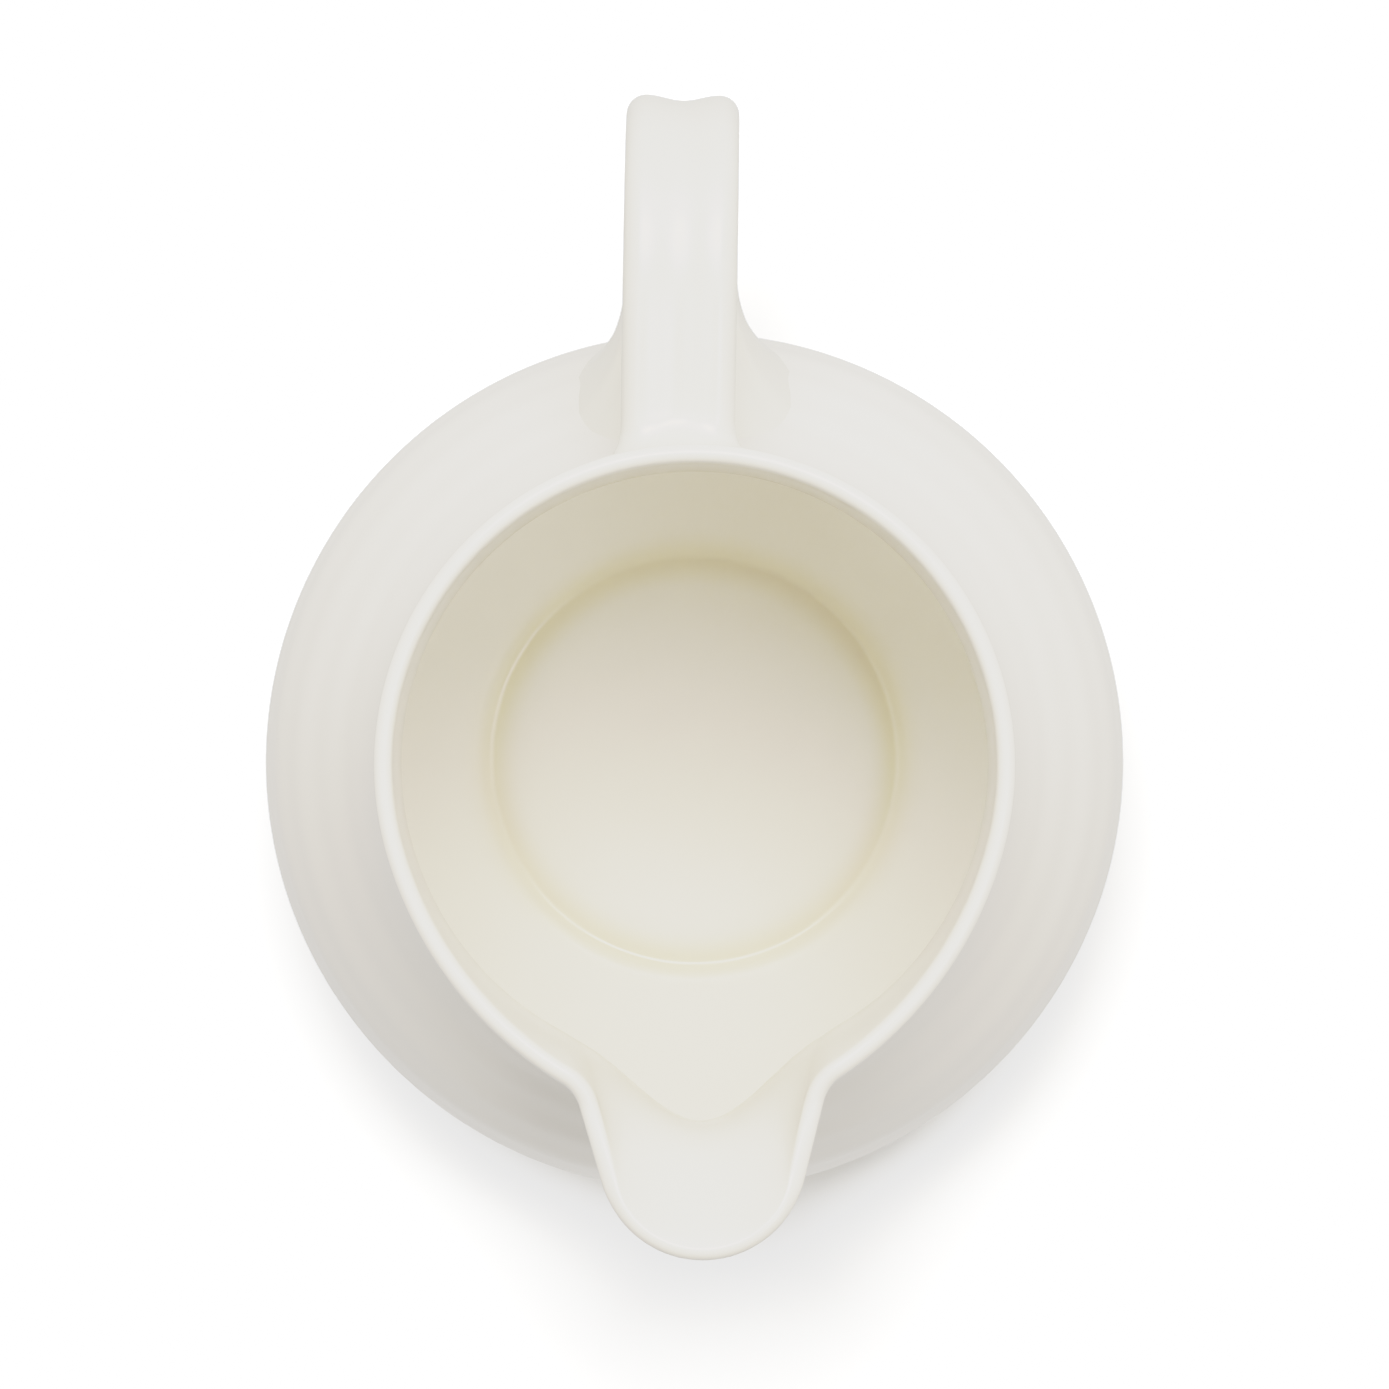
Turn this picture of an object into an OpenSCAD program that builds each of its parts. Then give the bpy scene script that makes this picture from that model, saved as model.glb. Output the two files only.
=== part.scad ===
// Porcelain cream jug: a round-bellied jug with a short neck, an applied pouring spout and a
// grooved strap handle. It is built as it is made before firing: vessel, foot ring, spout and
// handle are separate clay pieces, and two collars of slip bond the handle's ends.
// Frame: millimetres, +Z up, origin in the middle of the foot ring's resting plane.
// The spout points along -Y and the handle along +Y.

/* [Vessel] */
// Height of the rim above the table
rim_h = 85; // [80:0.5:92]
// Widest radius of the belly
belly_r = 47; // [45:0.5:50]
// Height of the widest point of the belly
belly_z = 35; // [32:0.5:38]
// Outer radius of the round part of the rim
rim_r = 33.4; // [32.5:0.1:34.5]
// Outer radius of the neck at its foot
neck_r = 33; // [32:0.1:33.5]
// Height of the foot of the neck
neck_z = 72; // [69:0.5:74]
// Thickness of the wall and of the rounded rim
wall = 2; // [1.8:0.1:2.4]

/* [Floor and foot] */
// Outer radius of the foot ring where it meets the vessel
foot_r = 27.2; // [26.5:0.1:28]
// Width of the foot ring
foot_w = 4.4; // [3.6:0.1:4.8]
// Height of the foot ring
foot_h = 3; // [2.4:0.1:3.4]
// Height of the raised middle of the floor, inside
floor_z = 6; // [5.6:0.1:6.6]
// Depth of the ring-shaped hollow around the floor
moat_depth = 1.3; // [0.8:0.1:1.5]
// Outer radius of that hollow
moat_r = 24.1; // [23.5:0.1:24.6]

/* [Spout] */
// Distance from the jug's axis to the tip of the spout
spout_reach = 51.4; // [49:0.2:54]
// Radius of the rounded tip, seen from above
tip_r = 11; // [10:0.2:12]
// Angle at which the spout's sides spread towards the neck
side_spread = 15.6; // [12:0.2:18]
// Radius of the hollow corner between spout and neck
corner_r = 4.4; // [3.4:0.1:5]
// How far the tip stands above the rim
tip_rise = 1; // [0:0.1:2.5]
// Height at which the wall begins to swell into the lip
swell_z = 58; // [56:0.5:62]
// How far the V-shaped throat below the lip is drawn out
throat_depth = 5.3; // [4:0.1:6.5]

/* [Handle] */
// Distance from the jug's axis to the far side of the handle
handle_reach = 71.2; // [69:0.2:74]
// Width of the strap
strap_w = 12; // [10.5:0.1:13.5]
// Thickness of the strap
strap_t = 5.6; // [5:0.1:6.2]
// Depth of the thumb groove along the outside of the strap
groove = 0.6; // [0.2:0.1:0.9]
// Sideways set of the hand-fitted handle where it meets the neck
handle_shift = -1.1; // [-2:0.1:2]
// Turn of the handle away from the jug's middle plane, in degrees
handle_yaw = -2.1; // [-3:0.1:3]

/* [Handle joints] */
// Half width of the upper collar on the neck
upper_half_w = 7.6; // [7:0.1:9]
// Half height of the upper collar on the neck
upper_half_h = 4.7; // [4.2:0.1:5]
// Half width of the lower collar on the shoulder
lower_half_w = 11.9; // [10.5:0.1:12.5]

/* [Hidden] */

porcelain = "#e6e3df";
bare_clay = "#d8d0c4";
facet = 64; // $fn of the turned shapes, which stay true curves

// ---------- curves ----------
// A cubic Bezier curve and its slope, in any number of dimensions
function bezier(p, t) =
    let (s = 1 - t)
    s * s * s * p[0] + 3 * s * s * t * p[1] + 3 * s * t * t * p[2] + t * t * t * p[3];
function bezier_slope(p, t) =
    let (s = 1 - t)
    3 * s * s * (p[1] - p[0]) + 6 * s * t * (p[2] - p[1]) + 3 * t * t * (p[3] - p[2]);
function unit(v) = v / norm(v);
function smooth(t) = let (c = max(0, min(1, t))) c * c * (3 - 2 * c);
function mix(a, b, t) = a + (b - a) * t;

// ---------- outside of the vessel, as [radius, height] ----------
wall_top = rim_h - wall / 2;
foot_curve = [[foot_r, foot_h], [foot_r + 8, foot_h + 1.8], [belly_r, 17], [belly_r, belly_z]];
shoulder_curve = [[belly_r, belly_z], [belly_r, 52], [neck_r + 1.5, 57], [neck_r, neck_z]];
neck_curve = [[neck_r, neck_z], [neck_r - 0.4, neck_z + 3.8], [rim_r - 0.7, 80], [rim_r, wall_top]];
shoulder_share = 0.65; // the part of v, from belly to rim, that the shoulder takes up

// v runs from 0 at the belly to 1 at the top of the wall
function wall_profile(v) =
    v < shoulder_share ? bezier(shoulder_curve, v / shoulder_share)
    : bezier(neck_curve, (v - shoulder_share) / (1 - shoulder_share));

// ---------- inside of the floor and the lower wall, as [radius, height] ----------
plateau_r = 18;
moat_mid_r = 22.7;
moat_edge_z = floor_z - moat_depth + 0.6;
inside_curve = [[moat_r, moat_edge_z], [31, 7.2], [belly_r - wall, 18], [belly_r - wall, belly_z]];
function floor_height(r) =
    r < moat_mid_r ? floor_z - moat_depth * pow(max(0, r - plateau_r) / (moat_mid_r - plateau_r), 1.8)
    : mix(floor_z - moat_depth, moat_edge_z, pow((r - moat_mid_r) / (moat_r - moat_mid_r), 1.5));

// ---------- rim outline in plan: tip arc, straight side, hollow corner, flank arc, circle ----------
lip_reach = spout_reach - wall / 4; // the rounded rim adds the rest
tip_y = lip_reach - tip_r;
side_angle = 90 - side_spread;
flank_end = 75; // angle from the spout at which the rim becomes round
flank_r = 41;
flank_shift = flank_r - rim_r;
flank_start = side_angle - acos(
    (tip_r + corner_r + tip_y * cos(side_angle) + flank_shift * cos(flank_end - side_angle))
    / (flank_r + corner_r));
side_len = tip_y * sin(side_angle) - (flank_r + corner_r) * sin(side_angle - flank_start)
    - flank_shift * sin(flank_end - side_angle);
tip_len = tip_r * side_angle * PI / 180;
corner_len = corner_r * (side_angle - flank_start) * PI / 180;
flank_len = flank_r * (flank_end - flank_start) * PI / 180;
half_len = tip_len + side_len + corner_len + flank_len;

// A point [across, forward] of the half outline, s millimetres along it from the tip
function from(angle, r) = [r * sin(angle), r * cos(angle)];
tip_end = [0, tip_y] + from(side_angle, tip_r);
corner_mid = from(flank_start, flank_r + corner_r) - from(flank_end, flank_shift);
function outline(s) =
    s < tip_len ? [0, tip_y] + from(s / tip_r * 180 / PI, tip_r)
    : s < tip_len + side_len ? tip_end + (s - tip_len) * [cos(side_angle), -sin(side_angle)]
    : s < half_len - flank_len
        ? corner_mid - from(side_angle - (s - tip_len - side_len) / corner_r * 180 / PI, corner_r)
    : from(flank_end - (half_len - s) / flank_r * 180 / PI, flank_r) - from(flank_end, flank_shift);

// The rim point that belongs to an angle a around the neck, 0 at the spout
spread = 0.245; // how much closer together the wall's upright lines stand at the flanks
function outline_at(a) =
    let (f = abs(a) / flank_end)
    abs(a) >= flank_end ? from(abs(a), rim_r) : outline(half_len * f * (1 + spread * (1 - f)));
function signed(a) = a > 180 ? a - 360 : a;
function rim_point(a) =
    let (b = signed(a), p = outline_at(b))
    [b < 0 ? -p[0] : p[0], -p[1], wall_top + tip_rise * smooth((p[1] - rim_r) / (lip_reach - rim_r))];
function turned(p, a) = [p[0] * sin(a), -p[0] * cos(a), p[1]];
function round_point(a, v) = turned(wall_profile(v), a);

// How much of the rim's outline has come in at a height: slowly at first, then out at the lip
function swell(z) = pow(max(0, (z - swell_z) / (wall_top - swell_z)), 3);

// How far the throat is drawn out under the lip: a ridge that fades out below, above and aside
throat_width = 24; // angle from its middle to its edge
throat_low_z = 48;
throat_mid_z = 66;
function throat(a, z) =
    let (rise = smooth((z - throat_low_z) / 20), fade = 1 - smooth((z - throat_mid_z) / 18))
    throat_depth * rise * fade * (1 + cos(180 * min(1, abs(signed(a)) / throat_width))) / 2;
function wall_point(a, v) =
    let (p = round_point(a, v))
    p + swell(p[2]) * (rim_point(a) - round_point(a, 1)) + throat(a, p[2]) * [0, -1, 0];

// Outward direction and upward direction of the wall at a point
step_a = 0.25;
step_v = 0.002;
function along(a, v) = unit(wall_point(a + step_a, v) - wall_point(a - step_a, v));
function upward(a, v) =
    let (w = min(v, 1 - step_v))
    unit(wall_point(a, w + step_v) - wall_point(a, w - step_v));
function outward(a, v) = unit(cross(along(a, v), upward(a, v)));

// ---------- the wall as a line at each angle: up the outside, over the rim, down the inside ----------
cap_steps = 5;
function wall_loop(angle_at, v_list) = concat(
    [for (v = v_list) wall_point(angle_at(v), v)],
    [for (i = [1 : cap_steps - 1])
        let (a = angle_at(1), n = outward(a, 1), up = upward(a, 1), w = i * 180 / cap_steps)
        wall_point(a, 1) + wall / 2 * ((cos(w) - 1) * n + sin(w) * up)],
    [for (v = reversed(v_list)) wall_point(angle_at(v), v) - wall * outward(angle_at(v), v)]);

// A solid through a list of such lines, which all have m points. Its first and last line are
// joined straight through the wall over the points from end_first on, end_count of them. A
// shut line also runs from its last point back to its first.
module wall_solid(lines, end_first, end_count, shut) {
    m = len(lines[0]);
    last = len(lines) - 1;
    points = [for (l = lines) each l];
    sides = [for (j = [0 : last - 1]) for (i = [0 : m - (shut ? 1 : 2)])
        let (a = j * m + i, b = j * m + (i + 1) % m)
        each [[a, b, b + m], [a, b + m, a + m]]];
    first_end = [for (i = [0 : floor(end_count / 2) - 1])
        let (a = end_first + i, c = end_first + end_count - 1 - i)
        each [[a, c, c - 1], [a, c - 1, a + 1]]];
    last_end = [for (f = first_end) reversed(f) + last * m * [1, 1, 1]];
    faces = [for (f = concat(sides, first_end, last_end)) if (has_area(f, points)) f];
    polyhedron(points = points, faces = faces);
}
function apart(p, q) = norm(p - q) > 1e-6;
function has_area(f, p) =
    apart(p[f[0]], p[f[1]]) && apart(p[f[1]], p[f[2]]) && apart(p[f[2]], p[f[0]]);
function reversed(l) = [for (i = [len(l) - 1 : -1 : 0]) l[i]];

// ---------- the seat: a notch with a rounded V shape, which the spout fills ----------
seat_v = 0.27; // where the notch begins
seat_width = 37; // angle from the spout's middle to the notch's edge, at the rim
seat_steps = 12;
steps_below = 5;
seat_rows = [for (i = [0 : seat_steps]) mix(seat_v, 1, i / seat_steps)];
rows_below = [for (i = [0 : steps_below - 1]) seat_v * i / steps_below];
function seat_angle(v) = v <= seat_v ? 0 : seat_width * pow((v - seat_v) / (1 - seat_v), 0.45);

body_columns = 60;
spout_columns = 40;

module body() {
    steps = 8;
    floor_steps = 7;
    underside = concat([[0, foot_h + 0.4], [foot_r - foot_w, foot_h]],
        [for (i = [0 : steps - 1]) bezier(foot_curve, i / steps)]);
    inside = concat([for (i = [steps - 1 : -1 : 0]) bezier(inside_curve, i / steps)],
        [for (i = [floor_steps - 1 : -1 : 0])
            let (r = mix(plateau_r, moat_r, i / floor_steps))
            [r, floor_height(r)]],
        [[0, floor_z]]);
    rows = concat(rows_below, seat_rows);
    lines = [for (j = [0 : body_columns])
        let (angle_at = function (v) mix(seat_angle(v), 360 - seat_angle(v), j / body_columns))
        concat([for (p = underside) turned(p, angle_at(0))], wall_loop(angle_at, rows),
            [for (p = inside) turned(p, angle_at(0))])];
    color(porcelain) wall_solid(lines, len(underside) + len(rows_below),
        2 * len(seat_rows) + cap_steps - 1, false);
}

module spout() {
    lines = [for (j = [0 : spout_columns])
        wall_loop(function (v) mix(-seat_angle(v), seat_angle(v), j / spout_columns), seat_rows)];
    color(porcelain) wall_solid(lines, 0, len(lines[0]), true);
}

module foot_ring() {
    inner_r = foot_r - foot_w;
    edge = 0.9;
    color(bare_clay) rotate_extrude($fn = facet) polygon(concat(
        [[inner_r, foot_h], [inner_r + 0.4, edge]],
        [for (w = [0 : 30 : 90]) [inner_r + 0.4 + edge * (1 - cos(w)), edge * (1 - sin(w))]],
        [for (w = [90 : -30 : 0]) [foot_r - 0.5 - edge * (1 - cos(w)), edge * (1 - sin(w))]],
        [[foot_r, foot_h]]));
}

// ---------- strap section, as [across, outward], going round it once ----------
edge_r = 2.1; // radius of the strap's rounded edges
crown = 0.25; // how much its inner face bulges
lobe = strap_w / 2 - edge_r; // where the groove's two shoulders stand
half_t = strap_t / 2;
face_steps = 8;
edge_steps = 4;
function rounded_edge(x, n, start) = [for (i = [0 : edge_steps])
    let (w = start + i * 90 / edge_steps)
    [x + edge_r * cos(w), n + edge_r * sin(w)]];
strap_section = concat(
    rounded_edge(lobe, edge_r - half_t, -90),
    rounded_edge(lobe, half_t - edge_r, 0),
    [for (i = [1 : face_steps - 1])
        let (x = lobe * (1 - 2 * i / face_steps))
        [x, half_t - groove * (1 + cos(180 * x / lobe)) / 2]],
    rounded_edge(-lobe, half_t - edge_r, 90),
    rounded_edge(-lobe, edge_r - half_t, 180),
    [for (i = [1 : face_steps / 2 - 1])
        let (x = lobe * (4 * i / face_steps - 1))
        [x, -half_t - crown * cos(90 * x / lobe)]]);

// ---------- middle line of the strap, as [distance from the axis, height] ----------
line_reach = handle_reach - half_t;
strap_line = [
    [[37.6, 78.6], [45, 79.9], [55, 81.2], [61.5, 77.2]],
    [[61.5, 77.2], [66.2, 74.3], [line_reach, 68.6], [line_reach, 62]],
    [[line_reach, 62], [line_reach, 55.2], [64.4, 50.6], [58, 50.6]],
    [[58, 50.6], [56.8, 50.6], [55.7, 50.5], [54.5, 50.3]]];
spans = len(strap_line);
function line_at(t) = let (k = min(floor(t), spans - 1)) bezier(strap_line[k], t - k);
function heading(t) = let (k = min(floor(t), spans - 1)) unit(bezier_slope(strap_line[k], t - k));

// Sets a point of the handle's own plane, [across, from the axis, height], onto the jug
function turn(p) =
    [p[0] * cos(handle_yaw) - p[1] * sin(handle_yaw), p[0] * sin(handle_yaw) + p[1] * cos(handle_yaw),
        p[2]];
function set_on(p) = turn(p - [0, neck_r, 0]) + [handle_shift, neck_r, 0];
function section_at(t) =
    let (c = line_at(t), d = heading(t))
    [for (q = strap_section) set_on([q[0], c[0] - q[1] * d[1], c[1] + q[1] * d[0]])];
function heading_at(t) = let (d = heading(t)) turn([0, d[0], d[1]]);

// A solid through a list of rings. A given tip closes the last ring with a fan, and inverse
// rings run clockwise about the way they are swept.
module sweep_rings(rings, tip = undef, inverse = false) {
    m = len(rings[0]);
    last = len(rings) - 1;
    sides = [for (j = [0 : last - 1]) for (i = [0 : m - 1])
        let (a = j * m + i, b = j * m + (i + 1) % m)
        each [[a, b + m, b], [a, a + m, b + m]]];
    start = [[for (i = [0 : m - 1]) i]];
    finish = is_undef(tip) ? [[for (i = [m - 1 : -1 : 0]) last * m + i]]
        : [for (i = [0 : m - 1]) [last * m + i, (last + 1) * m, last * m + (i + 1) % m]];
    faces = concat(sides, start, finish);
    points = [for (r = rings) each r];
    polyhedron(points = is_undef(tip) ? points : concat(points, [tip]),
        faces = inverse ? [for (f = faces) reversed(f)] : faces);
}

// ---------- collars: the strap's end spreads onto an oval patch of the wall ----------
// Height on the wall to v, by halving
function v_at(z, low = 0, high = 1, n = 18) =
    let (m = (low + high) / 2)
    n == 0 ? m : wall_profile(m)[1] < z ? v_at(z, m, high, n - 1) : v_at(z, low, m, n - 1);

// A point of the wall under the handle: x across, z up
function on_wall(mid_x, x, z) =
    let (v = v_at(z), r = wall_profile(v)[0])
    round_point(180 - (mid_x + x) / r * 180 / PI, v);
function wall_normal(mid_x, x, z) =
    let (h = 0.05)
    unit(cross(on_wall(mid_x, x, z + h) - on_wall(mid_x, x, z - h),
        on_wall(mid_x, x + h, z) - on_wall(mid_x, x - h, z)));

// patch = [across of its middle, height of its middle, half width, half height]
function patch_point(patch, w, size) =
    on_wall(patch[0], size * patch[2] * cos(w), patch[1] + size * patch[3] * sin(w));
function flare_line(start, toward, patch, w, edge_angle) =
    let (foot = patch_point(patch, w, 1),
        n = wall_normal(patch[0], patch[2] * cos(w), patch[1] + patch[3] * sin(w)),
        inward = unit(patch_point(patch, w, 0.97) - foot),
        pull = norm(foot - start) * 0.45)
    [start, start + pull * toward, foot + pull * (cos(edge_angle) * inward + sin(edge_angle) * n),
        foot];

module collar(section, toward, patch, upside, edge_angle, steps) {
    angles = [for (q = strap_section) atan2(upside * q[1] / half_t, q[0] / (strap_w / 2))];
    lines = [for (i = [0 : len(section) - 1])
        flare_line(section[i], toward, patch, angles[i], edge_angle)];
    flare = [for (j = [0 : steps]) [for (l = lines) bezier(l, j / steps)]];
    base = [for (size = [0.75, 0.5, 0.25]) [for (w = angles) patch_point(patch, w, size)]];
    sweep_rings(concat(flare, base), on_wall(patch[0], 0, patch[1]), inverse = upside < 0);
}

upper_mid_z = 78.5;
lower_mid_z = 52.5;
lower_half_h = 13.5;
lower_lean = 0.85; // how far the lower collar stands to the right of the upper one
upper_edge = 40; // angle between each collar's edge and the wall
lower_edge = 30;
upper_steps = 8;
lower_steps = 12;
upper_patch = [handle_shift, upper_mid_z, upper_half_w, upper_half_h];
lower_patch = [handle_shift + lower_lean, lower_mid_z, lower_half_w, lower_half_h];
strap_rings = 48;

module handle() {
    rings = [for (j = [0 : strap_rings]) section_at(j * spans / strap_rings)];
    color(porcelain) sweep_rings(rings, inverse = true);
}

module upper_handle_joint() {
    color(porcelain) collar(section_at(0), -heading_at(0), upper_patch, 1, upper_edge, upper_steps);
}

module lower_handle_joint() {
    color(porcelain) collar(section_at(spans), heading_at(spans), lower_patch, -1, lower_edge, lower_steps);
}

body();
foot_ring();
spout();
handle();
upper_handle_joint();
lower_handle_joint();
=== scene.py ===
"""Porcelain cream jug: the fine, glazed surfaces that stand for the packed clay pieces.

Lengths in the shape functions are millimetres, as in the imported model's source, and angles are
degrees. The meshes are made in metres. The spout points along -Y and the handle along +Y.
"""
import math

import bpy
import numpy as np
from mathutils import Matrix, Vector


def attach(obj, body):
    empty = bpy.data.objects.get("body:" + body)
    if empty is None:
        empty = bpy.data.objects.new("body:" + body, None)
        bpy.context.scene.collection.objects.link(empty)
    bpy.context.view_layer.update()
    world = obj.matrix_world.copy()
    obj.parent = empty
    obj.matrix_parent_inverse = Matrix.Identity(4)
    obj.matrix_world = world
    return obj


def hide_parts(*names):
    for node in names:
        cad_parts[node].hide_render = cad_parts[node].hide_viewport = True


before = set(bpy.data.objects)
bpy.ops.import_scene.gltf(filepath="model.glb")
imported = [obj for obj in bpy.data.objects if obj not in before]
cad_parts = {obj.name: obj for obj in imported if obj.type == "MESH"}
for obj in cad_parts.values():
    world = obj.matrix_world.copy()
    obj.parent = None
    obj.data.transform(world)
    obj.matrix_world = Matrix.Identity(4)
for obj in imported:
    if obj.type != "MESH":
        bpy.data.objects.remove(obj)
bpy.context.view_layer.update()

MM = 0.001

# ---------- sizes, in millimetres ----------

# The vessel
RIM_H = 85.0
BELLY_R = 47.0
BELLY_Z = 35.0
RIM_R = 33.4
NECK_R = 33.0
NECK_Z = 72.0
WALL = 2.0

# The ring that it stands on
FOOT_R = 27.2
FOOT_W = 4.4
FOOT_H = 3.0
FOOT_EDGE_R = 0.9
FOOT_LEAN_IN = 0.4
FOOT_LEAN_OUT = 0.5

# The inside floor: a raised middle, the plateau, with a hollow ring, the moat, round it
FLOOR_Z = 6.0
MOAT_DEPTH = 1.3
MOAT_R = 24.1
MOAT_CLIMB = 0.6
PLATEAU_R = 18.0
MOAT_MID_R = 22.7

# Painted shade and painted light on the inside floor: a darker, warmer ring in the moat and a
# lighter middle
MOAT_SHADE_W = 2.1
MIDDLE_R = 13.0
MIDDLE_LIGHT = 0.5

# The spout, the throat below it and the seat in the neck that it is let into
SPOUT_REACH = 51.4
TIP_R = 11.0
SIDE_SPREAD = 15.6
CORNER_R = 4.4
TIP_RISE = 1.0
SWELL_Z = 58.0
THROAT_DEPTH = 5.3
THROAT_WIDTH = 24.0
THROAT_LOW_Z = 48.0
THROAT_RISE = 20.0
THROAT_MID_Z = 66.0
THROAT_FALL = 18.0
FLANK_END = 75.0
FLANK_R = 41.0
SPREAD = 0.245
SEAT_V = 0.27
SEAT_WIDTH = 37.0
SEAT_BEND = 0.45

# The strap handle
HANDLE_REACH = 71.2
STRAP_W = 12.0
STRAP_T = 5.6
GROOVE = 0.6
EDGE_R = 2.1
CROWN = 0.25
HANDLE_SHIFT = -1.1
HANDLE_YAW = -2.1

# The collars' oval patches on the wall, and the angles at which they run out onto it
UPPER_MID_Z = 78.5
UPPER_HALF_W = 7.6
UPPER_HALF_H = 4.7
LOWER_MID_Z = 52.5
LOWER_HALF_W = 11.9
LOWER_HALF_H = 13.5
LOWER_LEAN = 0.85
UPPER_EDGE = 40.0
LOWER_EDGE = 30.0

# Throwing rings: faint ridges that the maker's fingers leave on the outside
RING_PITCH = 6.3
RING_HEIGHT = 0.06
RING_LOW_Z = 12.0
RING_FADE_IN = 14.0
RING_HIGH_Z = 64.0
RING_FADE_OUT = 6.0

# ---------- curves ----------


def bezier(points, t):
    """Points of a cubic Bezier curve; points has 4 rows, t is an array."""
    p = np.asarray(points, float)
    t = np.asarray(t, float)[..., None]
    s = 1 - t
    return s**3 * p[0] + 3 * s**2 * t * p[1] + 3 * s * t**2 * p[2] + t**3 * p[3]


def bezier_slope(points, t):
    p = np.asarray(points, float)
    t = np.asarray(t, float)[..., None]
    s = 1 - t
    return 3 * s**2 * (p[1] - p[0]) + 6 * s * t * (p[2] - p[1]) + 3 * t**2 * (p[3] - p[2])


def unit(v):
    return v / np.linalg.norm(v, axis=-1, keepdims=True)


def smooth(t):
    c = np.clip(t, 0, 1)
    return c * c * (3 - 2 * c)


def mix(a, b, t):
    return a + (b - a) * t


def sin(a):
    return np.sin(np.radians(a))


def cos(a):
    return np.cos(np.radians(a))


# ---------- outside of the vessel: v is -1 at the foot, 0 at the belly, 1 at the rim ----------
WALL_TOP = RIM_H - WALL / 2
FOOT_CURVE = [[FOOT_R, FOOT_H], [FOOT_R + 8, FOOT_H + 1.8], [BELLY_R, 17], [BELLY_R, BELLY_Z]]
SHOULDER_CURVE = [[BELLY_R, BELLY_Z], [BELLY_R, 52], [NECK_R + 1.5, 57], [NECK_R, NECK_Z]]
NECK_CURVE = [[NECK_R, NECK_Z], [NECK_R - 0.4, NECK_Z + 3.8], [RIM_R - 0.7, 80], [RIM_R, WALL_TOP]]
SHOULDER_SHARE = 0.65


def wall_profile(v):
    """[radius, height] of the plain round wall."""
    v = np.asarray(v, float)[..., None]
    foot = bezier(FOOT_CURVE, 1 + v[..., 0])
    shoulder = bezier(SHOULDER_CURVE, v[..., 0] / SHOULDER_SHARE)
    neck = bezier(NECK_CURVE, (v[..., 0] - SHOULDER_SHARE) / (1 - SHOULDER_SHARE))
    return np.where(v < 0, foot, np.where(v < SHOULDER_SHARE, shoulder, neck))


MOAT_EDGE_Z = FLOOR_Z - MOAT_DEPTH + MOAT_CLIMB
INSIDE_CURVE = [[MOAT_R, MOAT_EDGE_Z], [31, 7.2], [BELLY_R - WALL, 18], [BELLY_R - WALL, BELLY_Z]]


def floor_height(r):
    """Height of the inside floor: a raised middle with a hollow ring round it."""
    fall = (np.maximum(r - PLATEAU_R, 0) / (MOAT_MID_R - PLATEAU_R)) ** 1.8
    climb = (np.maximum(r - MOAT_MID_R, 0) / (MOAT_R - MOAT_MID_R)) ** 1.5
    inner = FLOOR_Z - MOAT_DEPTH * fall
    outer = mix(FLOOR_Z - MOAT_DEPTH, MOAT_EDGE_Z, climb)
    return np.where(r < MOAT_MID_R, inner, outer)


# ---------- rim outline in plan: tip arc, straight side, hollow corner, flank arc, circle ----------
LIP_REACH = SPOUT_REACH - WALL / 4
TIP_Y = LIP_REACH - TIP_R
SIDE_ANGLE = 90 - SIDE_SPREAD
FLANK_SHIFT = FLANK_R - RIM_R
FLANK_START = SIDE_ANGLE - math.degrees(
    math.acos(
        (TIP_R + CORNER_R + TIP_Y * cos(SIDE_ANGLE) + FLANK_SHIFT * cos(FLANK_END - SIDE_ANGLE))
        / (FLANK_R + CORNER_R)
    )
)
SIDE_LEN = (
    TIP_Y * sin(SIDE_ANGLE)
    - (FLANK_R + CORNER_R) * sin(SIDE_ANGLE - FLANK_START)
    - FLANK_SHIFT * sin(FLANK_END - SIDE_ANGLE)
)
TIP_LEN = math.radians(TIP_R * SIDE_ANGLE)
CORNER_LEN = math.radians(CORNER_R * (SIDE_ANGLE - FLANK_START))
FLANK_LEN = math.radians(FLANK_R * (FLANK_END - FLANK_START))
HALF_LEN = TIP_LEN + SIDE_LEN + CORNER_LEN + FLANK_LEN


def ray(angle, r):
    """A point [across, forward] at that angle from straight ahead."""
    return np.stack([r * sin(angle), r * cos(angle)], -1)


def outline(s):
    """The half outline, s millimetres along it from the spout's tip."""
    s = np.asarray(s, float)
    tip_mid = np.array([0, TIP_Y])
    tip = tip_mid + ray(np.degrees(s / TIP_R), TIP_R)
    way = np.array([cos(SIDE_ANGLE), -sin(SIDE_ANGLE)])
    side = tip_mid + ray(SIDE_ANGLE, TIP_R) + (s - TIP_LEN)[..., None] * way
    corner_mid = ray(FLANK_START, FLANK_R + CORNER_R) - ray(FLANK_END, FLANK_SHIFT)
    turned = SIDE_ANGLE - np.degrees((s - TIP_LEN - SIDE_LEN) / CORNER_R)
    corner = corner_mid - ray(turned, CORNER_R)
    flank = ray(FLANK_END - np.degrees((HALF_LEN - s) / FLANK_R), FLANK_R)
    flank = flank - ray(FLANK_END, FLANK_SHIFT)
    s = s[..., None]
    ends_at = np.cumsum([TIP_LEN, SIDE_LEN, CORNER_LEN])
    beyond_side = np.where(s < ends_at[2], corner, flank)
    return np.where(s < ends_at[0], tip, np.where(s < ends_at[1], side, beyond_side))


def signed(a):
    return (np.asarray(a, float) + 180) % 360 - 180


def rim_point(a):
    """The rim point that belongs to angle a around the neck, 0 at the spout."""
    b = signed(a)
    f = np.clip(np.abs(b) / FLANK_END, 0, 1)
    bent = outline(HALF_LEN * f * (1 + SPREAD * (1 - f)))
    p = np.where((np.abs(b) < FLANK_END)[..., None], bent, ray(np.abs(b), RIM_R))
    rise = TIP_RISE * smooth((p[..., 1] - RIM_R) / (LIP_REACH - RIM_R))
    return np.stack([np.where(b < 0, -p[..., 0], p[..., 0]), -p[..., 1], WALL_TOP + rise], -1)


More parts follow.
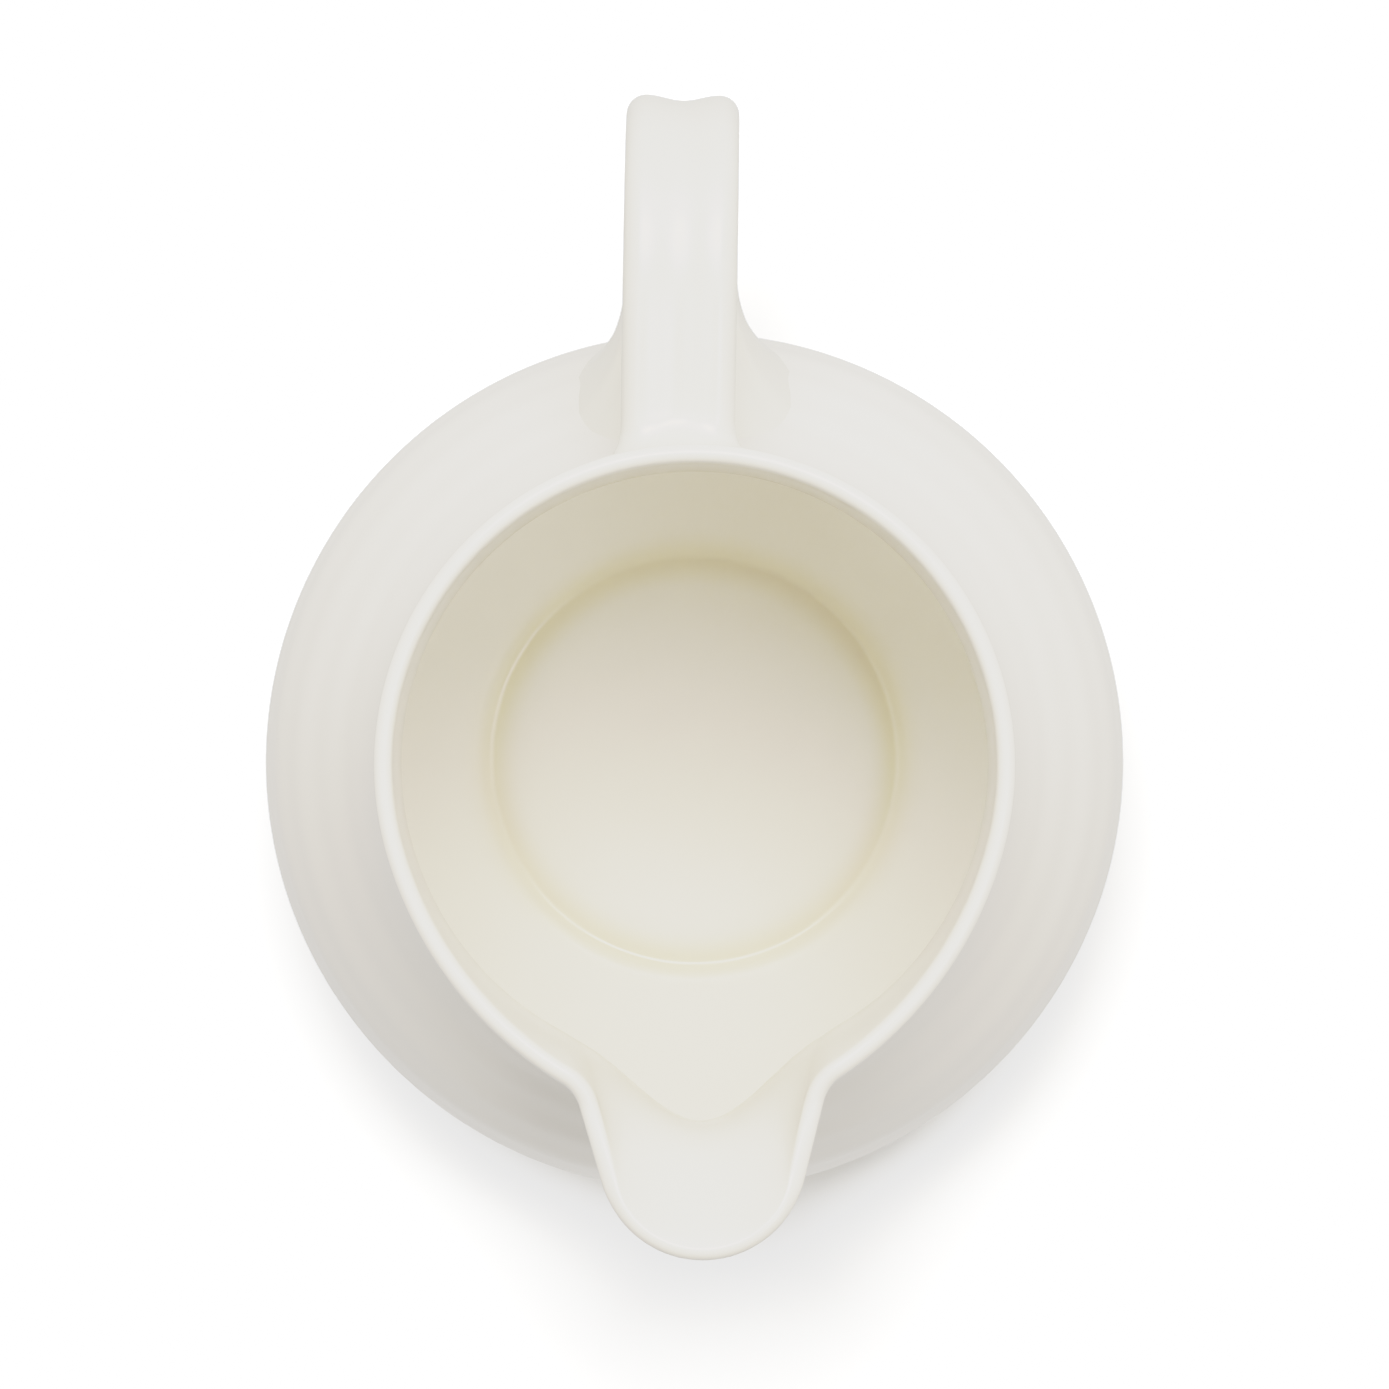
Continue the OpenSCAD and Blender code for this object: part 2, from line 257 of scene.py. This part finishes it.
def turned_point(p, a):
    return np.stack(np.broadcast_arrays(p[..., 0] * sin(a), -p[..., 0] * cos(a), p[..., 1]), -1)


def swell(z):
    """How much of the rim's outline has come in at a height."""
    return np.clip((z - SWELL_Z) / (WALL_TOP - SWELL_Z), 0, 1) ** 3


def throat(a, z):
    """How far the throat is drawn out: a ridge that fades out below, above and aside."""
    rise = smooth((z - THROAT_LOW_Z) / THROAT_RISE)
    rise = rise * (1 - smooth((z - THROAT_MID_Z) / THROAT_FALL))
    aside = np.clip(np.abs(signed(a)) / THROAT_WIDTH, 0, 1)
    return THROAT_DEPTH * rise * (1 + cos(180 * aside)) / 2


def wall_point(a, v):
    p = turned_point(wall_profile(v), a)
    top = turned_point(wall_profile(1.0), a)
    drawn = throat(a, p[..., 2])[..., None] * np.array([0, -1, 0])
    return p + swell(p[..., 2])[..., None] * (rim_point(a) - top) + drawn


STEP_A = 0.05
STEP_V = 0.0005


def around(a, v):
    return unit(wall_point(a + STEP_A, v) - wall_point(a - STEP_A, v))


def upward(a, v):
    w = np.clip(v, -1 + STEP_V, 1 - STEP_V)
    return unit(wall_point(a, w + STEP_V) - wall_point(a, w - STEP_V))


def outward(a, v):
    return unit(np.cross(around(a, v), upward(a, v)))


V_TABLE = np.linspace(-1, 1, 801)
LENGTH_TABLE = np.concatenate(
    [[0], np.cumsum(np.linalg.norm(np.diff(wall_profile(V_TABLE), axis=0), axis=1))]
)


def rings(v):
    """Height over the plain wall at v: 0 on a throwing ring, and below it between the rings."""
    z = wall_profile(v)[..., 1]
    m = np.interp(v, V_TABLE, LENGTH_TABLE)
    fade = smooth((z - RING_LOW_Z) / RING_FADE_IN) * smooth((RING_HIGH_Z - z) / RING_FADE_OUT)
    wave = np.cos(2 * np.pi * m / RING_PITCH)
    return RING_HEIGHT * fade * (wave - 1)


def outer_point(a, v):
    return wall_point(a, v) + rings(v)[..., None] * outward(a, v)


def inner_point(a, v):
    return wall_point(a, v) - WALL * outward(a, v)


# ---------- mesh making ----------


def mesh_object(name, points, faces, material, sharp=30):
    """A mesh in metres from points in millimetres. A fourth column says how much painted shade lies
    there: 0 outside the vessel, 1 on its inside wall, between on the handle and up to 2 in the
    floor's moat."""
    points = np.asarray(points)
    mesh = bpy.data.meshes.new(name)
    mesh.from_pydata((points[:, :3] * MM).tolist(), [], faces)
    glaze_and_shade = mesh.attributes.new("glaze_and_shade", "FLOAT", "POINT")
    if points.shape[1] > 3:
        glaze_and_shade.data.foreach_set("value", points[:, 3].copy())
    mesh.update()
    mesh.shade_smooth()
    mesh.set_sharp_from_angle(angle=math.radians(sharp))
    mesh.materials.append(material)
    piece = bpy.data.objects.new(name, mesh)
    bpy.context.scene.collection.objects.link(piece)
    return piece


def weld(points, faces):
    """Joins points that share one place and drops faces that have shrunk to a line."""
    _, first, place = np.unique(
        np.round(points[:, :3], 5), axis=0, return_index=True, return_inverse=True
    )
    place = place.ravel()
    kept = []
    for f in faces:
        g = []
        for i in f:
            if place[i] not in g:
                g.append(int(place[i]))
        if len(g) > 2:
            kept.append(g)
    return points[first], kept


def grid_faces(columns, rows, shut=False):
    """Quads between neighbouring columns of points; shut joins each column's ends."""
    faces = []
    for j in range(columns - 1):
        for i in range(rows if shut else rows - 1):
            a, b = j * rows + i, j * rows + (i + 1) % rows
            faces.append([a, b, b + rows, a + rows])
    return faces


def end_strip(first, count):
    """Fills the flat end of a column: its points pair up across the wall."""
    return [
        [first + i, first + count - 1 - i, first + count - 2 - i, first + i + 1]
        for i in range(count // 2 - 1)
    ]


# ---------- body and spout ----------
CAP_STEPS = 14
SEAT_ROWS = np.linspace(SEAT_V, 1, 57)
BODY_COLUMNS = 320
SPOUT_COLUMNS = 128
FOOT_COLUMNS = 256
UNDERSIDE_CURVE = [[0, FOOT_H + 0.4], [12, FOOT_H + 0.3], [FOOT_R - FOOT_W, FOOT_H]]


def seat_angle(v):
    """Half the width of the spout's seat at v, in degrees around the neck."""
    f = np.clip((np.asarray(v, float) - SEAT_V) / (1 - SEAT_V), 0, 1)
    return SEAT_WIDTH * f**SEAT_BEND


def rounded_rim(a):
    """The rim's half round, from just past the outside to just short of the inside."""
    n, up, top = outward(a, 1.0), upward(a, 1.0), wall_point(a, 1.0)
    turns = np.linspace(0, 180, CAP_STEPS + 1)[1:-1]
    return [top + WALL / 2 * ((cos(w) - 1) * n + sin(w) * up) for w in turns]


def marked(points, glaze_and_shade):
    """Adds the amount of painted shade there to points, as their fourth column."""
    points = np.asarray(points, float)
    return np.column_stack([points, np.broadcast_to(glaze_and_shade, len(points))])


def floor_light_and_shade(r):
    """Painted shade and painted light on the floor, by distance from the axis: more painted shade in
    the hollow ring, and less on the raised middle, which comes out lighter."""
    middle_light = MIDDLE_LIGHT * smooth((MOAT_MID_R - r) / (MOAT_MID_R - MIDDLE_R))
    return np.exp(-(((r - MOAT_MID_R) / MOAT_SHADE_W) ** 2)) - middle_light


def wall_column(angles, rows):
    """Points up the outside of the wall, over the rim and down the inside."""
    over = np.linspace(0, 1, CAP_STEPS + 1)[1:-1]
    return np.concatenate(
        [
            marked(outer_point(angles, rows), 0),
            # painted shade grows over the rim, and the inside wall is marked 1, drawn darker and
            # warmer than the outside
            marked(rounded_rim(angles[-1]), over),
            marked(inner_point(angles, rows)[::-1], 1),
        ]
    )


def wall_mesh(name, columns, first, count, material, shut=False):
    """A mesh of columns of points. Its two flat ends are filled from row first, count rows on."""
    m = len(columns[0])
    last = (len(columns) - 1) * m
    ends = end_strip(first, count)
    faces = grid_faces(len(columns), m, shut)
    faces += ends + [[i + last for i in f[::-1]] for f in ends]
    points, faces = weld(np.concatenate(columns), faces)
    return mesh_object(name, points, faces, material)


def make_body(material):
    below = np.linspace(0, SEAT_V, 25)[:-1]
    rows = np.concatenate([below, SEAT_ROWS])
    foot_rows = np.linspace(-1, 0, 41)[:-1]
    underside = np.array(UNDERSIDE_CURVE)
    inside = bezier(INSIDE_CURVE, np.linspace(1, 0, 31)[1:])
    radii = np.concatenate([np.linspace(MOAT_R, PLATEAU_R, 25)[1:], np.linspace(15, 3, 5)])
    floor = np.stack([radii, floor_height(radii)], -1)
    middle = np.array([[0, FLOOR_Z]])
    bottom = np.concatenate([inside, floor, middle])
    edge = seat_angle(rows)
    columns = []
    for j in range(BODY_COLUMNS + 1):
        angles = mix(edge, 360 - edge, j / BODY_COLUMNS)
        low = angles[0]
        columns.append(
            np.concatenate(
                [
                    marked(turned_point(underside, low), 0),
                    marked(outer_point(np.full(len(foot_rows), low), foot_rows), 0),
                    wall_column(angles, rows),
                    # painted shade on the inside floor, darkest in the moat, with painted light on
                    # its middle
                    marked(turned_point(bottom, low), 1 + floor_light_and_shade(bottom[:, 0])),
                ]
            )
        )
    first = len(underside) + len(foot_rows) + len(below)
    return wall_mesh("vessel", columns, first, 2 * len(SEAT_ROWS) + CAP_STEPS - 1, material)


def make_spout(material):
    edge = seat_angle(SEAT_ROWS)
    columns = []
    for j in range(SPOUT_COLUMNS + 1):
        columns.append(wall_column(mix(-edge, edge, j / SPOUT_COLUMNS), SEAT_ROWS))
    return wall_mesh("pouring_spout", columns, 0, len(columns[0]), material, shut=True)


def make_foot(material):
    """The ring that the jug stands on, with its ground edge."""
    inner = FOOT_R - FOOT_W
    half_way = (FOOT_H + FOOT_EDGE_R) / 2
    quarter = np.linspace(0, 90, 9)
    aside = FOOT_EDGE_R * (1 - cos(quarter))
    above = FOOT_EDGE_R * (1 - sin(quarter))
    section = np.concatenate(
        [
            [[inner, FOOT_H], [inner + FOOT_LEAN_IN / 2, half_way]],
            np.stack([inner + FOOT_LEAN_IN + aside, above], -1),
            np.stack([FOOT_R - FOOT_LEAN_OUT - aside, above], -1)[::-1],
            [[FOOT_R - FOOT_LEAN_OUT / 2, half_way], [FOOT_R, FOOT_H]],
        ]
    )
    columns = [turned_point(section, a) for a in np.linspace(0, 360, FOOT_COLUMNS + 1)]
    faces = grid_faces(FOOT_COLUMNS + 1, len(section), shut=True)
    points, faces = weld(np.concatenate(columns), faces)
    return mesh_object("standing_ring", points, faces, material, sharp=50)


# ---------- handle ----------
LOBE = STRAP_W / 2 - EDGE_R
HALF_T = STRAP_T / 2
FACE_STEPS = 28
EDGE_STEPS = 12
STRAP_STEPS = 160


def rounded_edge(x, n, start):
    w = np.linspace(start, start + 90, EDGE_STEPS + 1)
    return np.stack([x + EDGE_R * cos(w), n + EDGE_R * sin(w)], -1)


def strap_section():
    """[across, outward] points round the strap."""
    across = LOBE * (1 - 2 * np.arange(1, FACE_STEPS) / FACE_STEPS)
    grooved = np.stack([across, HALF_T - GROOVE * (1 + cos(180 * across / LOBE)) / 2], -1)
    back = LOBE * (2 * np.arange(1, FACE_STEPS) / FACE_STEPS - 1)
    crowned = np.stack([back, -HALF_T - CROWN * cos(90 * back / LOBE)], -1)
    return np.concatenate(
        [
            rounded_edge(LOBE, EDGE_R - HALF_T, -90),
            rounded_edge(LOBE, HALF_T - EDGE_R, 0),
            grooved,
            rounded_edge(-LOBE, HALF_T - EDGE_R, 90),
            rounded_edge(-LOBE, EDGE_R - HALF_T, 180),
            crowned,
        ]
    )


LINE_REACH = HANDLE_REACH - HALF_T
# The strap's middle line, from the neck out and down to the shoulder: [from the axis, height]
STRAP_LINE = [
    [[37.6, 78.6], [45, 79.9], [55, 81.2], [61.5, 77.2]],
    [[61.5, 77.2], [66.2, 74.3], [LINE_REACH, 68.6], [LINE_REACH, 62]],
    [[LINE_REACH, 62], [LINE_REACH, 55.2], [64.4, 50.6], [58, 50.6]],
    [[58, 50.6], [56.8, 50.6], [55.7, 50.5], [54.5, 50.3]],
]
SECTION = strap_section()


def line_at(t):
    """Middle of the strap [from the axis, height] and its heading, t spans along it."""
    k = min(int(t), len(STRAP_LINE) - 1)
    return bezier(STRAP_LINE[k], t - k), unit(bezier_slope(STRAP_LINE[k], t - k))


def turn(p):
    c, s = cos(HANDLE_YAW), sin(HANDLE_YAW)
    return np.stack([p[..., 0] * c - p[..., 1] * s, p[..., 0] * s + p[..., 1] * c, p[..., 2]], -1)


def section_at(t):
    """The strap's outline at t, set off the middle plane and turned as it was fitted."""
    c, d = line_at(t)
    flat = np.stack(
        [SECTION[:, 0], c[0] - SECTION[:, 1] * d[1], c[1] + SECTION[:, 1] * d[0]], -1
    )
    return turn(flat - np.array([0, NECK_R, 0])) + np.array([HANDLE_SHIFT, NECK_R, 0])


def heading_at(t):
    d = line_at(t)[1]
    return turn(np.array([0, d[0], d[1]]))


def ring_solid(name, ring_list, material, tip=None, inverse=False):
    """A closed solid through a list of rings; tip closes the last one with a fan."""
    m, last = len(ring_list[0]), len(ring_list) - 1
    faces = []
    for j in range(last):
        for i in range(m):
            a, b = j * m + i, j * m + (i + 1) % m
            faces.append([a, a + m, b + m, b])
    faces.append(list(range(m)))
    points = np.concatenate(ring_list)
    if tip is None:
        faces.append([last * m + i for i in range(m)][::-1])
    else:
        points = np.concatenate([points, [tip]])
        faces += [[last * m + i, (last + 1) * m, last * m + (i + 1) % m] for i in range(m)]
    if inverse:
        faces = [f[::-1] for f in faces]
    return mesh_object(name, points, faces, material)


def v_at(z):
    """v of the wall at that height."""
    return np.interp(z, wall_profile(V_TABLE)[:, 1], V_TABLE)


def on_wall(mid_x, x, z):
    """A point of the wall under the handle: x across, z up."""
    v = v_at(z)
    r = wall_profile(v)[..., 0]
    return outer_point(180 - np.degrees((mid_x + x) / r), v)


def wall_normal(mid_x, x, z):
    h = 0.05
    up = on_wall(mid_x, x, z + h) - on_wall(mid_x, x, z - h)
    across = on_wall(mid_x, x + h, z) - on_wall(mid_x, x - h, z)
    return unit(np.cross(up, across))


# painted shade: the handle is drawn darker and warmer than the outside wall
HANDLE_SHADE = 0.8
COLLAR_SHADE = 1.0  # painted shade: drawn darker where a collar runs out onto the wall
COLLAR_PULL = 0.45  # how far the collar keeps each end's direction, as a share of its length
PATCH_RINGS = 8


def make_collar(name, t, toward, patch, upside, edge_angle, steps, material):
    """The strap's end spreads onto an oval patch (middle x, middle z, half width, half height).
    toward is the strap's direction there, and upside is 1 where its outside faces up, else -1."""
    start = section_at(t)
    w = np.degrees(np.arctan2(upside * SECTION[:, 1] / HALF_T, SECTION[:, 0] / (STRAP_W / 2)))
    mid_x, mid_z, half_w, half_h = patch

    def oval(size):
        return on_wall(mid_x, size * half_w * cos(w), mid_z + size * half_h * sin(w))

    foot = oval(1.0)
    normal = wall_normal(mid_x, half_w * cos(w), mid_z + half_h * sin(w))
    inward = unit(oval(0.97) - foot)
    pull = COLLAR_PULL * np.linalg.norm(foot - start, axis=-1, keepdims=True)
    arrive = foot + pull * (cos(edge_angle) * inward + sin(edge_angle) * normal)
    lines = [start, start + pull * toward, arrive, foot]
    ring_list = []
    for f in np.linspace(0, 1, steps + 1):
        ring = bezier(lines, np.full(len(start), f))
        # painted shade: darker towards the wall, and on the oval patch itself
        ring_list.append(marked(ring, mix(HANDLE_SHADE, COLLAR_SHADE, f**2)))
    ring_list += [marked(oval(1 - k / PATCH_RINGS), 1) for k in range(1, PATCH_RINGS)]
    tip = [*on_wall(mid_x, 0.0, mid_z), 1]
    return ring_solid(name, ring_list, material, tip, inverse=upside < 0)


def make_handle(material):
    places = [len(STRAP_LINE) * j / STRAP_STEPS for j in range(STRAP_STEPS + 1)]
    # painted shade over the whole strap
    ring_list = [marked(section_at(t), HANDLE_SHADE) for t in places]
    return ring_solid("strap_handle", ring_list, material, inverse=True)


# ---------- materials ----------


def new_material(name):
    material = bpy.data.materials.new(name)
    material.use_nodes = True
    tree = material.node_tree
    tree.nodes.clear()
    out = tree.nodes.new("ShaderNodeOutputMaterial")
    shader = tree.nodes.new("ShaderNodeBsdfPrincipled")
    tree.links.new(shader.outputs["BSDF"], out.inputs["Surface"])
    coords = tree.nodes.new("ShaderNodeTexCoord")
    return material, tree, shader, coords.outputs["Object"]


def noise(tree, place, scale, detail=2.0, roughness=0.5):
    node = tree.nodes.new("ShaderNodeTexNoise")
    node.inputs["Scale"].default_value = scale
    node.inputs["Detail"].default_value = detail
    node.inputs["Roughness"].default_value = roughness
    tree.links.new(place, node.inputs["Vector"])
    return node.outputs["Fac"]


def ramp(tree, value, low, high):
    """A colour that runs from low to high over the middle of a noise's range."""
    node = tree.nodes.new("ShaderNodeValToRGB")
    for element, position, color in zip(node.color_ramp.elements, (0.3, 0.7), (low, high)):
        element.position = position
        element.color = (*color, 1)
    tree.links.new(value, node.inputs["Fac"])
    return node.outputs["Color"]


def map_range(tree, value, low, high, new_low, new_high):
    node = tree.nodes.new("ShaderNodeMapRange")
    node.inputs["From Min"].default_value = low
    node.inputs["From Max"].default_value = high
    node.inputs["To Min"].default_value = new_low
    node.inputs["To Max"].default_value = new_high
    tree.links.new(value, node.inputs["Value"])
    return node.outputs["Result"]


def bump(tree, shader, height, strength, distance):
    node = tree.nodes.new("ShaderNodeBump")
    node.inputs["Strength"].default_value = strength
    node.inputs["Distance"].default_value = distance
    tree.links.new(height, node.inputs["Height"])
    tree.links.new(node.outputs["Normal"], shader.inputs["Normal"])


def blend(tree, amount, first, second):
    node = tree.nodes.new("ShaderNodeMix")
    node.data_type = "RGBA"
    tree.links.new(amount, node.inputs["Factor"])
    tree.links.new(first, node.inputs["A"])
    tree.links.new(second, node.inputs["B"])
    return node.outputs["Result"]


def glazed_porcelain():
    """White clear-glazed porcelain with painted shade: darker and warmer on the inside, the handle
    and the collars, most in the moat, and lighter on the floor's middle.
    """
    material, tree, shader, place = new_material("glazed_porcelain")
    cloud = noise(tree, place, 22.0, 3.0)
    thin = ramp(tree, cloud, (0.885, 0.846, 0.80), (0.905, 0.866, 0.82))
    # painted shade: the darker, warmer colour of the inside, the handle and the collars
    painted_shade_tint = ramp(tree, cloud, (0.81, 0.787, 0.722), (0.83, 0.807, 0.742))
    # painted shade: the darker, warmer colour of the moat
    moat_shade_tint = ramp(tree, cloud, (0.72, 0.67, 0.50), (0.76, 0.71, 0.55))
    glaze_and_shade = tree.nodes.new("ShaderNodeAttribute")
    glaze_and_shade.attribute_name = "glaze_and_shade"
    tint = blend(tree, map_range(tree, glaze_and_shade.outputs["Fac"], 0, 1, 0, 1), thin, painted_shade_tint)
    tint = blend(tree, map_range(tree, glaze_and_shade.outputs["Fac"], 1, 2, 0, 1), tint, moat_shade_tint)
    tree.links.new(tint, shader.inputs["Base Color"])
    sheen = noise(tree, place, 160.0, 2.0)
    tree.links.new(map_range(tree, sheen, 0.2, 0.8, 0.215, 0.265), shader.inputs["Roughness"])
    bump(tree, shader, noise(tree, place, 240.0, 1.5), 0.05, 0.0004)
    shader.inputs["IOR"].default_value = 1.5
    return material


def bare_porcelain():
    """The unglazed standing edge: fine grained, matt and slightly grey from the shelf."""
    material, tree, shader, place = new_material("bare_porcelain")
    grain = noise(tree, place, 900.0, 4.0, 0.65)
    wear = noise(tree, place, 70.0, 3.0)
    tint = ramp(tree, wear, (0.62, 0.58, 0.52), (0.74, 0.70, 0.64))
    tree.links.new(tint, shader.inputs["Base Color"])
    tree.links.new(map_range(tree, grain, 0.3, 0.7, 0.75, 0.92), shader.inputs["Roughness"])
    bump(tree, shader, grain, 0.35, 0.0003)
    return material


# ---------- stage ----------
STAGE_R = 4.0
STAGE_WALL = 3.0  # height of the backdrop all round
SHADOW_R = 0.14  # within this radius the floor hardly glows, so the jug's shadow shows
GLOW_R = 0.45  # beyond this radius the floor is white by its own light
SHADOW_GLOW = 0.05
WHITE = 4.0


def floor_mesh():
    """A round floor that turns up into a backdrop."""
    # radius and height of each circle of points, in metres
    circles = [(0.02, 0), (0.2, 0), (1.0, 0), (STAGE_R - 1, 0), (STAGE_R - 0.3, 0.3)]
    circles += [(STAGE_R, 1.0), (STAGE_R, STAGE_WALL)]
    count = 64
    bearings = np.linspace(0, 360, count + 1)[:-1]
    points = [[0, 0, 0]]
    for r, z in circles:
        points += [[r * cos(a), r * sin(a), z] for a in bearings]
    faces = [[0, 1 + i, 1 + (i + 1) % count] for i in range(count)]
    for k in range(len(circles) - 1):
        for i in range(count):
            a, b = 1 + k * count + i, 1 + k * count + (i + 1) % count
            faces.append([a, a + count, b + count, b])
    mesh = bpy.data.meshes.new("floor")
    mesh.from_pydata(points, [], faces)
    mesh.shade_smooth()
    return mesh


def pale_floor():
    """Matt and white, with a glow of its own some way off the jug."""
    material, tree, shader, place = new_material("pale_floor")
    shader.inputs["Base Color"].default_value = (0.74, 0.74, 0.74, 1)
    shader.inputs["Roughness"].default_value = 0.9
    shader.inputs["Specular IOR Level"].default_value = 0.0
    shader.inputs["Emission Color"].default_value = (1.0, 1.0, 1.0, 1)
    distance = tree.nodes.new("ShaderNodeVectorMath")
    distance.operation = "LENGTH"
    tree.links.new(place, distance.inputs[0])
    glow = map_range(tree, distance.outputs["Value"], SHADOW_R, GLOW_R, SHADOW_GLOW, WHITE)
    tree.links.new(glow, shader.inputs["Emission Strength"])
    return material


def make_floor():
    """The jug isn't lit by its floor: the world's light from below stands for that."""
    mesh = floor_mesh()
    mesh.materials.append(pale_floor())
    floor = bpy.data.objects.new("floor", mesh)
    floor.visible_diffuse = False
    floor.visible_glossy = False
    floor.visible_shadow = False
    bpy.context.scene.collection.objects.link(floor)
    return floor


LIGHT_DISTANCE = 1.7
# name: direction round the jug (0 = behind the handle, 90 = the jug's right), angle away from
# straight above, width, depth, power
SOFTBOXES = {
    "back": (3, 21, 1.25, 0.60, 22.5),
    "far_back": (10, 37, 1.9, 0.75, 14.0),
    "right": (112, 22, 0.60, 0.60, 6.0),
    "left": (255, 20, 0.60, 0.60, 3.0),
}
LIGHT_COLOR = (1.078, 1.0, 0.85)
SKY = 0.08
BOUNCE = 0.85  # what the surroundings send up from below
# A lamp for the floor alone, which makes it white round the jug and keeps the jug's shadow
FLOOR_LAMP = (352, 13, 0.88, 0.64, 158.0)


def add_softbox(name, setting):
    bearing, off, width, depth, power = setting
    light = bpy.data.lights.new(name, "AREA")
    light.shape = "ELLIPSE"
    light.size = width
    light.size_y = depth
    light.energy = power
    softbox = bpy.data.objects.new(name, light)
    way = Vector((sin(off) * sin(bearing), sin(off) * cos(bearing), cos(off)))
    softbox.location = way * LIGHT_DISTANCE
    softbox.rotation_euler = way.to_track_quat("Z", "Y").to_euler()
    bpy.context.scene.collection.objects.link(softbox)
    return softbox


def make_world():
    """An even, dim sky, and the light that the surroundings send up from below the horizon."""
    world = bpy.data.worlds.new("studio")
    world.use_nodes = True
    tree = world.node_tree
    background = tree.nodes["Background"]
    background.inputs["Color"].default_value = (1.03, 1.0, 0.93, 1)
    coords = tree.nodes.new("ShaderNodeTexCoord")
    split = tree.nodes.new("ShaderNodeSeparateXYZ")
    tree.links.new(coords.outputs["Generated"], split.inputs["Vector"])
    strength = map_range(tree, split.outputs["Z"], -0.15, 0.05, BOUNCE, SKY)
    tree.links.new(strength, background.inputs["Strength"])
    bpy.context.scene.world = world


def make_lights(floor):
    make_world()
    for name, setting in SOFTBOXES.items():
        add_softbox(name, setting).data.color = LIGHT_COLOR
    lamp = add_softbox("floor_lamp", FLOOR_LAMP)
    lamp.light_linking.receiver_collection = bpy.data.collections.new("floor_only")
    lamp.light_linking.receiver_collection.objects.link(floor)


# How bright each level of light comes out, as on a soft photographic print
TONE = [
    (0.0, 0.0),
    (0.1, 0.235),
    (0.2, 0.365),
    (0.35, 0.53),
    (0.55, 0.65),
    (0.8, 0.745),
    (1.1, 0.795),
    (1.5, 0.82),
    (2.0, 0.86),
    (2.6, 0.93),
    (3.4, 1.0),
]


def set_tone():
    view = bpy.context.scene.view_settings
    view.view_transform = "Standard"
    view.use_curve_mapping = True
    mapping = view.curve_mapping
    top = TONE[-1][0]
    mapping.white_level = (top, top, top)
    mapping.extend = "HORIZONTAL"
    points = mapping.curves[3].points
    for light, print_level in TONE[1:-1]:
        points.new(light / top, print_level)
    for point in points:
        point.handle_type = "AUTO_CLAMPED"
    mapping.update()


CAMERA_H = 1.011
CAMERA_FORWARD = 0.00736
CAMERA_ROLL = -1.2
VIEW_WIDTH = 0.1444  # what the frame spans at the height of the rim


def make_camera():
    data = bpy.data.cameras.new("camera")
    data.sensor_width = 36.0
    data.lens = data.sensor_width * (CAMERA_H - RIM_H * MM) / VIEW_WIDTH
    data.clip_end = 20.0
    camera = bpy.data.objects.new("camera", data)
    roll = Matrix.Rotation(math.radians(CAMERA_ROLL), 4, "Z")
    camera.matrix_world = roll @ Matrix.Translation((0, CAMERA_FORWARD, CAMERA_H))
    bpy.context.scene.collection.objects.link(camera)
    bpy.context.scene.camera = camera


def add_piece(piece, node):
    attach(piece, "root")
    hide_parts(node)


make_camera()
make_lights(make_floor())

glaze_and_shade = glazed_porcelain()
bare = bare_porcelain()
upper_patch = (HANDLE_SHIFT, UPPER_MID_Z, UPPER_HALF_W, UPPER_HALF_H)
lower_patch = (HANDLE_SHIFT + LOWER_LEAN, LOWER_MID_Z, LOWER_HALF_W, LOWER_HALF_H)
spans = len(STRAP_LINE)

add_piece(make_body(glaze_and_shade), "body")
add_piece(make_spout(glaze_and_shade), "spout")
add_piece(make_foot(bare), "foot_ring")
add_piece(make_handle(glaze_and_shade), "handle")
upper = make_collar("upper_collar", 0, -heading_at(0), upper_patch, 1, UPPER_EDGE, 24, glaze_and_shade)
add_piece(upper, "upper_handle_joint")
lower = make_collar("lower_collar", spans, heading_at(spans), lower_patch, -1, LOWER_EDGE, 40, glaze_and_shade)
add_piece(lower, "lower_handle_joint")

set_tone()
bpy.context.scene.cycles.diffuse_bounces = 10
